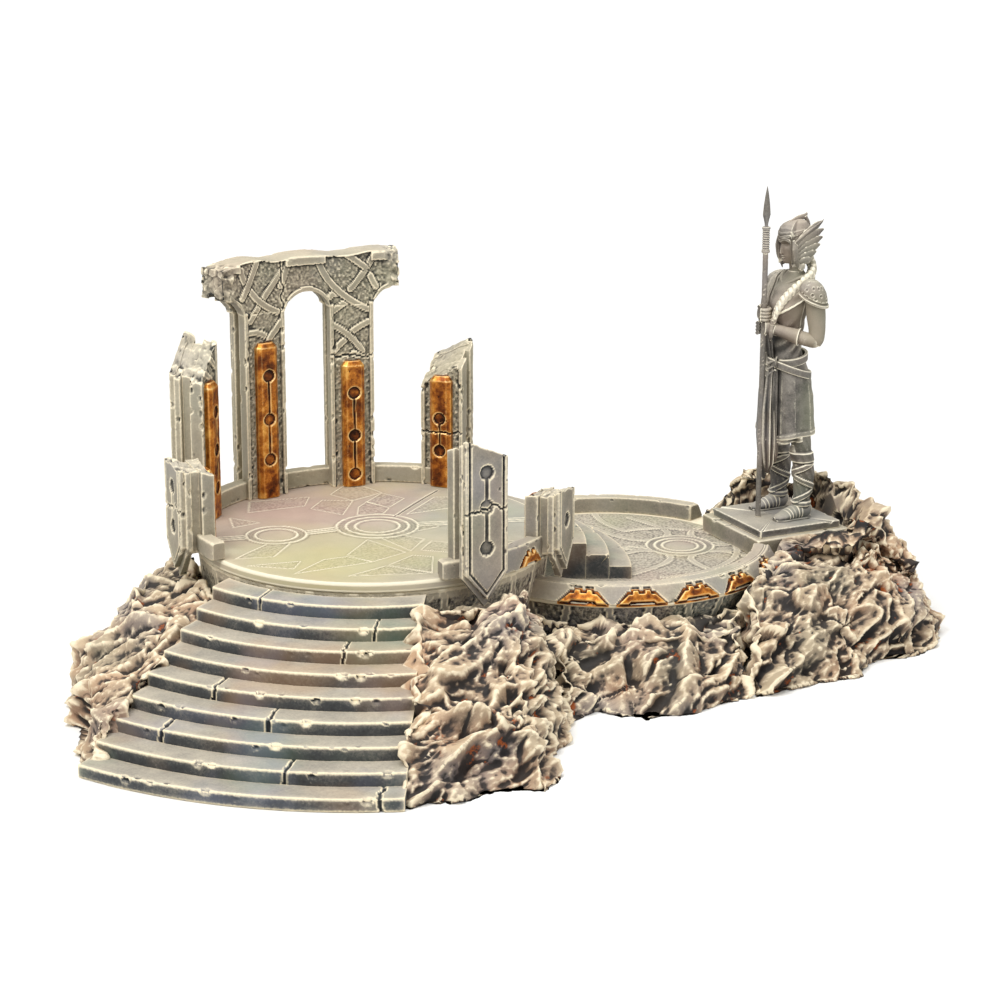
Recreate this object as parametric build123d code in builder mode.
"""Miniature terrain ruin: two round stone platforms on a craggy base, one object of many glued pieces.

Millimetres, +Z up. The origin is the centre of the footprint, on the table. The stair comes down
towards -Y, the low platform and the statue stand on the +X side.
"""
import os
from math import atan2, cos, degrees, radians, sin

from build123d import *

os.makedirs("parts", exist_ok=True)

# ---------------------------------------------------------------- driving dimensions
riser = 5.0                      # height of every step
tread = 11.2                     # depth of every step of the great stair
stair_steps = 9                  # blocks below the landing
upper_floor_z = 10 * riser       # high platform
lower_floor_z = 6 * riser        # low platform
upper_x, upper_y = -59.0, 36.0   # axis of the high platform
lower_x, lower_y = 40.2, 66.4    # axis of the low platform

floor_r = 73.1                   # high floor slab, its lip is the top nosing of the stair
floor_t = 4.0
drum_foot_r, drum_top_r = 66.0, 72.4
wall_in_r, wall_out_r = 71.0, 77.0
wall_h = 7.5                     # parapet above the high floor
band_in_r = 73.5                 # the parapet's outer band is the part outside this circle
band_drop = 2.5                  # it hangs this far below the floor
stair_in_r = 75.3                # back of the first step
stair_bearing = 255.5            # direction of the stair, degrees from +X
stair_half_top, stair_half_bottom = 42.6, 61.0

pillar_w = 19.5
pillar_front_r = 70.0            # the pillars' inner faces stand on this circle
block_d, web_d, plate_d = 5.5, 4.0, 5.0
pillar_d = block_d + web_d + plate_d
web_w = 14.5
panel_w, panel_deep = 16.0, 1.0
shield_drop = 11.0               # the outer plates' tips hang this far below the floor
shield_shoulder = 1.5            # where the plates' points begin, above the floor
bar_w, bar_d = 10.0, 3.4
disc_r, disc_deep = 2.4, 0.8
disc_shares = (0.22, 0.5, 0.78)  # the discs' heights as shares of a bar's length

gate_bearing = 117.5             # direction that the gateway faces away from
gate_r = 145.0                   # the gateway is bent to this radius on its inner face
gate_x, gate_y = upper_x + 36.8, upper_y - 70.7   # centre of that bend
gate_half_angle = 8.0            # from the gateway's middle to each post's middle
spring_z, crown_z, lintel_z = 130.0, 138.0, 154.0

rim_in_r, rim_out_r, rim_foot_r = 60.5, 66.8, 71.0
rim_h = 7.0
lower_foot_r, lower_top_r = 60.0, 68.6
ledge_r, ledge_t = 70.2, 1.4     # thin ledge under the rim
lower_floor_t = 3.0
plinth_x, plinth_y = upper_x + 172.0, upper_y + 52.6
plinth_turn = 25.5               # the plinth and the statue are turned by this much
plinth_size, plinth_z = 46.0, 37.5
slab_size, slab_h = 40.0, 3.2
statue_z = plinth_z + slab_h


# ---------------------------------------------------------------- helpers
def save(part, name):
    """Label one finished piece and write it as its own file."""
    part.label = name
    export_step(part, f"parts/{name}.step")
    return part


def around(x, y, r, bearing):
    """The point at distance r and bearing from (x, y)."""
    return (x + r * cos(radians(bearing)), y + r * sin(radians(bearing)))


def flat_at(x, y, r, bearing, z):
    """A level plane at that point: its X runs outwards and its Y anticlockwise."""
    px, py = around(x, y, r, bearing)
    out = (cos(radians(bearing)), sin(radians(bearing)), 0)
    return Plane(origin=(px, py, z), x_dir=out, z_dir=(0, 0, 1))


def upright_at(x, y, r, bearing, z):
    """An upright plane at that point: it faces outwards and its Y is up."""
    px, py = around(x, y, r, bearing)
    out = (cos(radians(bearing)), sin(radians(bearing)), 0)
    side = (-sin(radians(bearing)), cos(radians(bearing)), 0)
    return Plane(origin=(px, py, z), x_dir=side, z_dir=out)


def ring_sector(r_in, r_out, start, stop):
    """Sketch of a ring's sector between two bearings."""
    with BuildSketch() as sector:
        with BuildLine():
            outer = CenterArc((0, 0), r_out, start, stop - start)
            inner = CenterArc((0, 0), r_in, start, stop - start)
            Line(outer @ 0, inner @ 0)
            Line(outer @ 1, inner @ 1)
        make_face()
    return sector.sketch


def cylinder_room(x, y, r, z, height):
    """A round space about an upright axis."""
    with BuildPart() as room:
        with BuildSketch(Plane(origin=(x, y, z))):
            Circle(r)
        extrude(amount=height)
    return room.part


def square_room(x, y, turn, size, z, height):
    """A square space, turned by that many degrees about its middle."""
    x_dir = (cos(radians(turn)), sin(radians(turn)), 0)
    with BuildPart() as room:
        with BuildSketch(Plane(origin=(x, y, z), x_dir=x_dir, z_dir=(0, 0, 1))):
            Rectangle(size, size)
        extrude(amount=height)
    return room.part


def statue_point(forward, left, z):
    """A point of the statue: forward is where it looks, left is its own left hand."""
    turn = radians(plinth_turn + 180)
    x = plinth_x + forward * cos(turn) - left * sin(turn)
    y = plinth_y + forward * sin(turn) + left * cos(turn)
    return (x, y, statue_z + z)


def statue_plane(forward, left, z):
    """A level plane of the statue: its X runs forward and its Y to the left."""
    turn = radians(plinth_turn + 180)
    return Plane(origin=statue_point(forward, left, z), x_dir=(cos(turn), sin(turn), 0), z_dir=(0, 0, 1))


def stack(sections):
    """Loft of level ellipses: (forward, left, z, half length, half width) from the bottom up."""
    with BuildPart() as body:
        for forward, left, z, a, b in sections:
            with BuildSketch(statue_plane(forward, left, z)):
                Ellipse(a, b)
        loft(ruled=True)
    return body.part


def limb(start, stop, r_start, r_stop):
    """A tapered round limb between two of the statue's points."""
    a = Vector(*statue_point(*start))
    b = Vector(*statue_point(*stop))
    along = b - a
    with BuildPart() as body:
        with BuildSketch(Plane(origin=a, z_dir=along)):
            Circle(r_start)
        with BuildSketch(Plane(origin=b, z_dir=along)):
            Circle(r_stop)
        loft(ruled=True)
    return body.part


# ---------------------------------------------------------------- the great stair
def stair_half(r):
    """Half width of the stair at radius r: its flanks are straight and open downwards."""
    share = (r - stair_in_r - tread) / (tread * (stair_steps - 1))
    return stair_half_top + (stair_half_bottom - stair_half_top) * share


for number in range(1, stair_steps + 1):
    inner_r = stair_in_r + tread * (number - 1)
    outer_r = inner_r + tread
    half_in, half_out = stair_half(inner_r - 20), stair_half(outer_r + 10)
    with BuildPart() as step:
        with BuildSketch(flat_at(upper_x, upper_y, 0, stair_bearing, 0)):
            add(ring_sector(inner_r, outer_r, -60, 60))
            with BuildLine():
                near, far = inner_r * 0.5, outer_r + 10
                Polyline((near, -stair_half(near)), (far, -half_out), (far, half_out), (near, stair_half(near)),
                         close=True)
            make_face(mode=Mode.INTERSECT)
        extrude(amount=upper_floor_z - riser * number)
        fillet(step.edges().group_by(Axis.Z)[-1].filter_by(GeomType.CIRCLE).sort_by(SortBy.LENGTH)[-1:], 0.5)
    save(step.part, f"stair_step_{number}")

# ---------------------------------------------------------------- high platform
with BuildPart() as upper_drum:
    with BuildSketch(Plane(origin=(upper_x, upper_y, 0), x_dir=(1, 0, 0), z_dir=(0, -1, 0))):
        with BuildLine():
            Polyline((0, 0), (drum_foot_r, 0), (drum_top_r, upper_floor_z - floor_t),
                     (0, upper_floor_z - floor_t), close=True)
        make_face()
    revolve(axis=Axis((upper_x, upper_y, 0), (0, 0, 1)))
save(upper_drum.part, "upper_drum")

with BuildPart() as upper_floor:
    with BuildSketch(Plane(origin=(upper_x, upper_y, upper_floor_z - floor_t))):
        Circle(floor_r)
    extrude(amount=floor_t)
    fillet(upper_floor.edges().group_by(Axis.Z)[-1], 0.8)
save(upper_floor.part, "upper_floor")

# Bearing of the place, bearing that it faces, top of the inner block, top of the outer plate. The two
# beside the stair are turned a little towards it.
pillars = {
    "rear_left": (166.0, 166.0, 112.0, 126.0),
    "front_left": (200.0, 206.0, 83.0, 85.5),
    "front_right": (304.5, 298.0, 96.0, 106.0),
    "link": (338.0, 338.0, 74.0, 75.0),
    "rear_right": (67.5, 67.5, 101.0, 112.0),
}
bar_tops = {"rear_left": 108.0, "front_left": 82.0, "front_right": 92.0, "link": 72.0, "rear_right": 100.0}


def pillar_axis(bearing, facing):
    """The point that a pillar turns its inner face to: the platform's axis, unless it is turned."""
    px, py = around(upper_x, upper_y, pillar_front_r, bearing)
    return around(px, py, -pillar_front_r, facing)


# Where pillars and gate posts pass through the parapet.
with BuildPart() as pillar_rooms:
    for bearing, facing, _, _ in pillars.values():
        with BuildSketch(flat_at(*pillar_axis(bearing, facing), pillar_front_r + pillar_d / 2, facing, 0)):
            Rectangle(pillar_d, pillar_w + 0.02)
        extrude(amount=90)
    for side in (1, -1):
        bearing = gate_bearing + side * gate_half_angle
        with BuildSketch(flat_at(gate_x, gate_y, gate_r + pillar_d / 2, bearing, 0)):
            Rectangle(pillar_d, pillar_w + 0.02)
        extrude(amount=90)


def parapet(name, start, stop, band):
    """One stretch of the low wall, with its outer band hanging over the drum where it shows."""
    with BuildPart() as wall:
        with BuildSketch(Plane(origin=(upper_x, upper_y, upper_floor_z))):
            add(ring_sector(wall_in_r, wall_out_r, start, stop))
        extrude(amount=wall_h)
        if band:
            with BuildSketch(Plane(origin=(upper_x, upper_y, upper_floor_z - band_drop))):
                add(ring_sector(band_in_r, wall_out_r, start, stop))
            extrude(amount=band_drop)
        add(pillar_rooms.part, mode=Mode.SUBTRACT)
    save(wall.part.solids().sort_by(SortBy.VOLUME)[-1], name)


gate_left_bearing, gate_right_bearing = 134.6, 100.4
parapet("parapet_stair_right", 292.5, 304.5, False)
parapet("parapet_band", 304.5, 338.0, True)
parapet("parapet_rear_right", 50.0, 67.5, True)
parapet("parapet_rear", 67.5, gate_right_bearing, True)
parapet("parapet_sill", gate_right_bearing, gate_left_bearing, True)
parapet("parapet_left_rear", gate_left_bearing, 166.0, True)
parapet("parapet_left", 166.0, 200.0, True)
parapet("parapet_stair_left", 200.0, 217.0, False)


# ---------------------------------------------------------------- pillars, gate posts and bronze bars
def pillar_body(name, cx, cy, front_r, bearing, inner_top, outer_top):
    """One pillar: inner block, narrow web and outer shield plate, which hangs to a point."""
    z = upper_floor_z
    half = pillar_w / 2
    with BuildPart() as pillar:
        with BuildSketch(flat_at(cx, cy, front_r, bearing, z)):
            with Locations((block_d / 2, 0)):
                Rectangle(block_d, pillar_w)
            with Locations((panel_deep / 2, 0)):
                Rectangle(panel_deep, panel_w, mode=Mode.SUBTRACT)
            with Locations((block_d + web_d / 2, 0)):
                Rectangle(web_d, web_w)
        extrude(amount=inner_top - z)
        with BuildSketch(upright_at(cx, cy, front_r + block_d + web_d, bearing, 0)):
            with BuildLine():
                Polyline((-half, outer_top), (half, inner_top), (half, z + shield_shoulder),
                         (0, z - shield_drop), (-half, z + shield_shoulder), close=True)
            make_face()
        extrude(amount=plate_d)
    save(pillar.part, name)


def bronze_bar(name, cx, cy, front_r, bearing, top):
    """Chamfered bronze bar in the panel of a pillar, with its three sunk discs."""
    depth = front_r + panel_deep - bar_d
    with BuildPart() as bar:
        with BuildSketch(flat_at(cx, cy, depth, bearing, upper_floor_z)):
            with Locations((bar_d / 2, 0)):
                Rectangle(bar_d, bar_w)
        extrude(amount=top - upper_floor_z)
        with BuildSketch(upright_at(cx, cy, depth, bearing, 0)):
            length = top - upper_floor_z
            with Locations(*[(0, upper_floor_z + length * share) for share in disc_shares]):
                Circle(disc_r)
        extrude(amount=disc_deep, mode=Mode.SUBTRACT)
    save(bar.part, name)


for place, (bearing, facing, inner_top, outer_top) in pillars.items():
    axis = pillar_axis(bearing, facing)
    pillar_body(f"pillar_{place}", *axis, pillar_front_r, facing, inner_top, outer_top)
    bronze_bar(f"pillar_bar_{place}", *axis, pillar_front_r, facing, bar_tops[place])

for place, side, bar_top in (("left", 1, 118.0), ("right", -1, 106.0)):
    bearing = gate_bearing + side * gate_half_angle
    pillar_body(f"gate_post_{place}", gate_x, gate_y, gate_r, bearing, spring_z, spring_z)
    bronze_bar(f"gate_bar_{place}", gate_x, gate_y, gate_r, bearing, bar_top)

# The lintel is a bent beam. Three arches cut its underside: the whole one of the doorway, and the
# springings of the fallen arches beyond both posts.
gate_pitch = 2 * gate_half_angle                       # degrees from one arch to the next
arch_half = radians(gate_half_angle) * gate_r - pillar_w / 2
arch_rise = crown_z - spring_z
arch_r = (arch_half ** 2 + arch_rise ** 2) / (2 * arch_rise)
lintel_left, lintel_right = 17.4, 16.2                 # degrees from the gateway's middle to its ends
with BuildPart() as gate_lintel:
    with BuildSketch(Plane(origin=(gate_x, gate_y, spring_z))):
        add(ring_sector(gate_r, gate_r + pillar_d, gate_bearing - lintel_right, gate_bearing + lintel_left))
    extrude(amount=lintel_z - spring_z)
    for turn in (-gate_pitch, 0, gate_pitch):
        with BuildSketch(upright_at(gate_x, gate_y, gate_r - 10, gate_bearing + turn, crown_z - arch_r)):
            Circle(arch_r)
        extrude(amount=pillar_d + 20, mode=Mode.SUBTRACT)
    for turn, dip in ((lintel_left - 1, 5.0), (5.5, 1.6), (-8.5, 1.2)):      # weathered top
        with BuildSketch(upright_at(gate_x, gate_y, gate_r - 10, gate_bearing + turn, lintel_z + 30)):
            Circle(30 + dip)
        extrude(amount=pillar_d + 20, mode=Mode.SUBTRACT)
save(gate_lintel.part, "gate_lintel")

# ---------------------------------------------------------------- low platform
upper_clear_r = wall_out_r + 0.05
high_room = cylinder_room(upper_x, upper_y, upper_clear_r, 0, upper_floor_z)
plinth_hole = square_room(plinth_x, plinth_y, plinth_turn, plinth_size + 0.02, lower_floor_z, 40)


with BuildPart() as lower_drum:
    with BuildSketch(Plane(origin=(lower_x, lower_y, 0), x_dir=(1, 0, 0), z_dir=(0, -1, 0))):
        with BuildLine():
            Polyline((0, 0), (lower_foot_r, 0), (lower_top_r, lower_floor_z - ledge_t),
                     (ledge_r, lower_floor_z - ledge_t), (ledge_r, lower_floor_z - 0.02),
                     (rim_in_r, lower_floor_z - 0.02), (rim_in_r, lower_floor_z - lower_floor_t),
                     (0, lower_floor_z - lower_floor_t), close=True)
        make_face()
    revolve(axis=Axis((lower_x, lower_y, 0), (0, 0, 1)))
    add(high_room, mode=Mode.SUBTRACT)
save(lower_drum.part.solids().sort_by(SortBy.VOLUME)[-1], "lower_drum")

with BuildPart() as lower_floor:
    with BuildSketch(Plane(origin=(lower_x, lower_y, lower_floor_z - lower_floor_t))):
        Circle(rim_in_r)
    extrude(amount=lower_floor_t)
    add(high_room, mode=Mode.SUBTRACT)
save(lower_floor.part, "lower_floor")


def low_rim(name, start, stop):
    """A stretch of the low platform's rim: flat on top, its outer face leans out downwards."""
    with BuildPart() as rim:
        with BuildSketch(Plane(origin=(lower_x, lower_y, 0), x_dir=(1, 0, 0), z_dir=(0, -1, 0))):
            with BuildLine():
                Polyline((rim_in_r, lower_floor_z), (rim_foot_r, lower_floor_z),
                         (rim_out_r, lower_floor_z + rim_h), (rim_in_r, lower_floor_z + rim_h), close=True)
            make_face()
        revolve(axis=Axis((lower_x, lower_y, 0), (0, 0, 1)))
        with BuildSketch(Plane(origin=(lower_x, lower_y, lower_floor_z))):
            add(ring_sector(rim_in_r - 5, rim_foot_r + 5, start, stop))
        extrude(amount=rim_h, mode=Mode.INTERSECT)
        add(high_room, mode=Mode.SUBTRACT)
        add(plinth_hole, mode=Mode.SUBTRACT)
    save(rim.part.solids().sort_by(SortBy.VOLUME)[-1], name)


low_rim("lower_rim_front", 205, 352)
low_rim("lower_rim_rear", 51, 150)

# Bronze emblems, five on the front of the low rim and one on the parapet: a plate with two merlons
# and a notched foot.
emblem_bearings = (258.0, 277.5, 297.0, 316.7, 336.0)
emblem_lean = degrees(atan2(rim_foot_r - rim_out_r, rim_h))


def emblem(width):
    """Sketch of one emblem, standing on Y = 0."""
    w = width / 2
    with BuildSketch() as outline:
        with BuildLine():
            Polyline((-w, 0), (-0.55 * w, 4.2), (-0.36 * w, 4.2), (-0.36 * w, 5.6), (-0.14 * w, 5.6),
                     (-0.14 * w, 4.6), (0.14 * w, 4.6), (0.14 * w, 5.6), (0.36 * w, 5.6), (0.36 * w, 4.2),
                     (0.55 * w, 4.2), (w, 0), (0.55 * w, 0), (0.45 * w, 1.4), (-0.45 * w, 1.4),
                     (-0.55 * w, 0), close=True)
        make_face()
    return outline.sketch


def leaning_plane(x, y, foot_r, bearing, z, lean):
    """A plane on a leaning wall: it faces outwards and a little up."""
    tip = radians(lean)
    px, py = around(x, y, foot_r, bearing)
    c, s = cos(radians(bearing)), sin(radians(bearing))
    return Plane(origin=(px, py, z), x_dir=(-s, c, 0), z_dir=(c * cos(tip), s * cos(tip), sin(tip)))


with BuildPart() as bronze_emblems:
    for bearing in emblem_bearings:
        with BuildSketch(leaning_plane(lower_x, lower_y, rim_foot_r, bearing, lower_floor_z + 0.2, emblem_lean)):
            add(emblem(20.0))
        extrude(amount=1.0)
    with BuildSketch(upright_at(upper_x, upper_y, wall_out_r, 326.0, upper_floor_z - band_drop + 0.6)):
        add(emblem(14.0))
    extrude(amount=1.0)
save(bronze_emblems.part, "bronze_emblems")

# Three small steps between the platforms, rings about the high platform's axis, cut off by a
# straight flank towards the stair side.
flank_y = upper_y - 4.9
link_radii = (87.6, 97.0, 106.2)
for number, outer_r in enumerate(link_radii, 1):
    inner_r = upper_clear_r if number == 1 else link_radii[number - 2]
    with BuildPart() as link_step:
        with BuildSketch(Plane(origin=(upper_x, upper_y, lower_floor_z))):
            add(ring_sector(inner_r, outer_r, -15, 50))
        extrude(amount=upper_floor_z - riser * number - lower_floor_z)
        with BuildSketch(Plane(origin=(upper_x, flank_y - 50, lower_floor_z))):
            Rectangle(400, 100)
        extrude(amount=30, mode=Mode.SUBTRACT)
        with BuildSketch(Plane(origin=(lower_x, lower_y, lower_floor_z))):
            Circle(rim_in_r - 0.05)
        extrude(amount=30, mode=Mode.INTERSECT)
    save(link_step.part.solids().sort_by(SortBy.VOLUME)[-1], f"link_step_{number}")

# ---------------------------------------------------------------- plinth
turned_x = (cos(radians(plinth_turn)), sin(radians(plinth_turn)), 0)
with BuildPart() as plinth:
    with BuildSketch(Plane(origin=(plinth_x, plinth_y, lower_floor_z), x_dir=turned_x, z_dir=(0, 0, 1))):
        Rectangle(plinth_size, plinth_size)
    extrude(amount=plinth_z - lower_floor_z)
    chamfer(plinth.edges().group_by(Axis.Z)[-1], 0.5)
save(plinth.part, "plinth")


# ---------------------------------------------------------------- rocks
def rock(name, levels, cuts):
    """A craggy lump: straight facets between level outlines, less the rooms that others need."""
    with BuildPart() as lump:
        for z, points in levels:
            with BuildSketch(Plane.XY.offset(z)):
                with BuildLine():
                    Polyline(*[(upper_x + px, upper_y + py) for px, py in points], close=True)
                make_face()
        loft(ruled=True)
        for cut in cuts:
            add(cut, mode=Mode.SUBTRACT)
    return save(lump.part.solids().sort_by(SortBy.VOLUME)[-1], name)


with BuildPart() as upper_room:                       # the high platform and its pillars
    with BuildSketch(Plane(origin=(upper_x, upper_y, 0))):
        Circle(74.0)
    extrude(amount=60)
    with BuildSketch(Plane(origin=(upper_x, upper_y, upper_floor_z - shield_drop - 1))):
        Circle(pillar_front_r + pillar_d + 1.2)
    extrude(amount=40)

with BuildPart() as lower_room:                       # the low platform
    with BuildSketch(Plane(origin=(lower_x, lower_y, 0))):
        Circle(69.0)
    extrude(amount=lower_floor_z - 3)
    with BuildSketch(Plane(origin=(lower_x, lower_y, lower_floor_z - 3))):
        Circle(rim_foot_r + 1.4)
    extrude(amount=40)

with BuildPart() as stair_room:
    with BuildSketch(flat_at(upper_x, upper_y, 0, stair_bearing, 0)):
        with BuildLine():
            Polyline((40, -stair_half(40)), (220, -stair_half(220)), (220, stair_half(220)),
                     (40, stair_half(40)), close=True)
        make_face()
    extrude(amount=60)

with BuildPart() as plinth_room:
    with BuildSketch(Plane(origin=(plinth_x, plinth_y, lower_floor_z), x_dir=turned_x, z_dir=(0, 0, 1))):
        Rectangle(plinth_size, plinth_size)
    extrude(amount=60)
    with BuildSketch(Plane(origin=(plinth_x, plinth_y, plinth_z), x_dir=turned_x, z_dir=(0, 0, 1))):
        Rectangle(plinth_size + 1, plinth_size + 1)
    extrude(amount=60)

rock("rock_left", [
    (0, [(-97, -152), (-101, -139), (-107, -113), (-115, -80), (-122, -52), (-118, -25), (-111, 0),
         (-98, 24), (-60, 30), (-50, -60)]),
    (17, [(-88, -136), (-96, -126), (-104, -106), (-110, -78), (-114, -52), (-112, -25), (-104, -2),
          (-93, 20), (-60, 28), (-50, -60)]),
    (37, [(-66, -70), (-77, -78), (-86, -72), (-92, -62), (-96, -46), (-94, -26), (-88, -8),
          (-80, 8), (-60, 10), (-50, -55)]),
], [upper_room.part, stair_room.part])

rock_stair_right = rock("rock_stair_right", [
    (0, [(14, -176), (33, -170), (51, -163), (70, -162), (74, -145), (73, -125), (78, -112), (78, -92),
         (74, -60), (10, -60)]),
    (20, [(14, -150), (30, -152), (46, -146), (60, -142), (66, -134), (67, -120), (72, -106), (73, -90),
          (72, -60), (10, -60)]),
    (44, [(14, -92), (26, -98), (34, -98), (42, -98), (50, -96), (56, -92), (60, -84), (62, -76),
          (62, -60), (10, -60)]),
], [upper_room.part, stair_room.part, lower_room.part])

rock("rock_front", [
    (0, [(78, -92), (88, -80), (102, -90), (118, -89), (131, -86), (140, -76), (150, -66), (150, -20),
         (60, -20), (56, -60)]),
    (10, [(77, -84), (87, -70), (101, -80), (117, -78), (129, -76), (137, -68), (150, -58), (150, -20),
          (60, -20), (56, -60)]),
    (24, [(74, -64), (84, -58), (98, -58), (112, -56), (124, -54), (134, -48), (150, -40), (150, -20),
          (60, -20), (56, -56)]),
], [upper_room.part, lower_room.part, rock_stair_right])

crag_front = rock("crag_front", [
    (0, [(150, -66), (162, -60), (178, -50), (197, -43), (209, -26), (224, -20), (234, -5), (240, 20),
         (200, 30), (150, -20)]),
    (20, [(150, -46), (160, -46), (175, -38), (192, -32), (203, -19), (216, -13), (225, -1), (230, 20),
          (200, 30), (150, -20)]),
    (40, [(150, -8), (158, -10), (168, -8), (182, -4), (194, -2), (203, 3), (209, 10), (213, 20),
          (200, 30), (150, 2)]),
], [lower_room.part, plinth_room.part])

rock("crag_rear", [
    (0, [(240, 20), (240, 46), (231, 74), (212, 94), (183, 104.1), (152, 103), (130, 98), (118, 84),
         (140, 10), (200, 0)]),
    (26, [(228, 20), (229, 44), (221, 68), (205, 86), (182, 98), (154, 97), (134, 93), (120, 84),
          (140, 10), (200, 0)]),
    (56, [(206, 20), (208, 42), (204, 58), (193, 74), (180, 82), (172, 80), (167, 77), (162, 74),
          (160, 40), (196, 10)]),
], [lower_room.part, plinth_room.part, crag_front])

rock("rock_rear", [
    (0, [(-98, 24), (-92, 48), (-76, 70), (-52, 88), (-18, 98), (20, 100), (58, 98), (92, 104.1),
         (130, 98), (118, 84), (60, 20), (-60, 30)]),
    (14, [(-92, 24), (-86, 45), (-72, 65), (-49, 82), (-17, 92), (20, 93), (58, 93), (93, 100),
          (128, 95), (118, 84), (60, 20), (-60, 30)]),
    (26, [(-80, 22), (-75, 40), (-63, 57), (-44, 72), (-15, 81), (20, 82), (58, 84), (94, 95),
          (124, 92), (114, 84), (60, 20), (-60, 28)]),
], [upper_room.part, lower_room.part])

# ---------------------------------------------------------------- statue, which lifts off its plinth
with BuildPart() as statue_slab:
    with BuildSketch(Plane(origin=(plinth_x, plinth_y, plinth_z), x_dir=turned_x, z_dir=(0, 0, 1))):
        Rectangle(slab_size, slab_size)
    extrude(amount=slab_h)
    chamfer(statue_slab.edges().group_by(Axis.Z)[-1], 0.4)
save(statue_slab.part, "statue_slab")

hip_forward, hip_left = -4.0, 0.0
foot_side = 9.5
knee_z, hip_z, waist_z, chest_z, shoulder_z, chin_z, crown_top_z = 36.0, 62.0, 74.0, 92.0, 104.0, 114.0, 132.0

with BuildPart() as statue_legs:
    for side in (1, -1):
        add(stack([(hip_forward + 4, side * foot_side, 0, 8.5, 3.4), (hip_forward + 3, side * foot_side, 3, 7.5, 3.2),
                   (hip_forward, side * foot_side, 8, 3.6, 3.4), (hip_forward - 1, side * foot_side, 24, 5.2, 4.8),
                   (hip_forward, side * foot_side, knee_z, 4.6, 4.6), (hip_forward, side * 7, 50, 6.0, 6.0)]))
save(statue_legs.part, "statue_legs")

# The skirt, and the long cloth that hangs from it in front, between the legs.
with BuildPart() as statue_skirt:
    add(stack([(hip_forward, hip_left, 50.05, 11.5, 15.5), (hip_forward, hip_left, hip_z, 10.5, 13.5),
               (hip_forward, hip_left, waist_z, 7.2, 9.2)]))
    add(stack([(4.6, 0, 16, 0.8, 3.0), (5.2, 0, 30, 1.2, 5.0), (6.0, 0, 50, 1.1, 5.5), (5.4, 0, 54, 1.0, 5.5)]))
save(statue_skirt.part, "statue_skirt")

torso = save(stack([
    (hip_forward, 0, waist_z + 0.05, 7.0, 9.0), (hip_forward + 1, 0, chest_z - 6, 8.5, 11.0),
    (hip_forward + 0.5, 0, chest_z + 4, 8.0, 12.0), (hip_forward - 1, 0, shoulder_z, 5.5, 9.0),
    (hip_forward - 0.5, 0, shoulder_z + 3, 3.4, 3.4), (hip_forward, 0, chin_z - 2, 3.2, 3.2),
]), "statue_torso")

# Each arm is bent at the elbow, and its fist closes round the spear. A rounded plate covers the shoulder.
spear_forward, spear_left, spear_r = 9.0, 0.0, 1.15
near_hand_z, far_hand_z = 83.5, 88.7
for place, side, hand_z in (("left", 1, near_hand_z), ("right", -1, far_hand_z)):
    with BuildPart() as arm:
        add(limb((hip_forward - 1, side * 15.6, 102), (hip_forward - 3, side * 17.0, 79), 4.2, 3.4))
        add(limb((hip_forward - 4, side * 16.6, 78), (spear_forward - 1.5, side * 3.4, hand_z), 3.2, 2.4))
        with BuildSketch(statue_plane(spear_forward - 0.2, spear_left, hand_z - 2.4)):
            Ellipse(2.9, 3.6)
        extrude(amount=4.8)
        add(stack([(hip_forward - 1, side * 14.5, 100.2, 5.6, 5.2), (hip_forward - 1, side * 13.5, 106.5, 3.0, 2.6)]))
        add(torso, mode=Mode.SUBTRACT)
        with BuildSketch(statue_plane(spear_forward, spear_left, 60)):
            Circle(spear_r + 0.02)
        extrude(amount=60, mode=Mode.SUBTRACT)
    save(arm.part.solids().sort_by(SortBy.VOLUME)[-1], f"statue_arm_{place}")

save(stack([
    (hip_forward + 1.5, 0, chin_z - 1.9, 3.0, 2.6), (hip_forward + 1, 0, chin_z + 4, 6.0, 4.8),
    (hip_forward + 0.5, 0, chin_z + 9, 7.0, 5.6),
]), "statue_head")

with BuildPart() as statue_helmet:
    add(stack([(hip_forward + 0.5, 0, chin_z + 9.05, 7.6, 6.2), (hip_forward, 0, chin_z + 14, 6.6, 5.4),
               (hip_forward, 0, crown_top_z - 1, 3.0, 2.6)]))
    for side in (1, -1):
        backwards = (cos(radians(plinth_turn)), sin(radians(plinth_turn)), 0)
        outwards = (side * sin(radians(plinth_turn)), -side * cos(radians(plinth_turn)), 0)
        wing_plane = Plane(origin=statue_point(hip_forward, side * 5.6, 0), x_dir=backwards, z_dir=outwards)
        up = 1 if wing_plane.y_dir.Z > 0 else -1
        with BuildSketch(wing_plane):
            with BuildLine():
                Polyline((-2, up * (chin_z + 4)), (5, up * (chin_z + 6)), (11, up * (chin_z + 12)),
                         (12, up * (chin_z + 17)), (2, up * (chin_z + 12)), close=True)
            make_face()
        extrude(amount=1.6)
save(statue_helmet.part, "statue_helmet")

# The spear is one rod with a thicker bound socket, and a leaf-shaped head.
shaft_top, socket_top, spear_top = 116.0, 126.6, 144.0
with BuildPart() as spear_shaft:
    with BuildSketch(statue_plane(spear_forward, spear_left, 0)):
        Circle(spear_r)
    extrude(amount=shaft_top)
    with BuildSketch(statue_plane(spear_forward, spear_left, shaft_top)):
        Circle(1.7)
    extrude(amount=socket_top - shaft_top)
save(spear_shaft.part, "spear_shaft")

save(stack([
    (spear_forward, spear_left, socket_top, 0.9, 0.9), (spear_forward, spear_left, socket_top + 4, 1.9, 0.8),
    (spear_forward, spear_left, spear_top, 0.25, 0.2),
]), "spear_head")
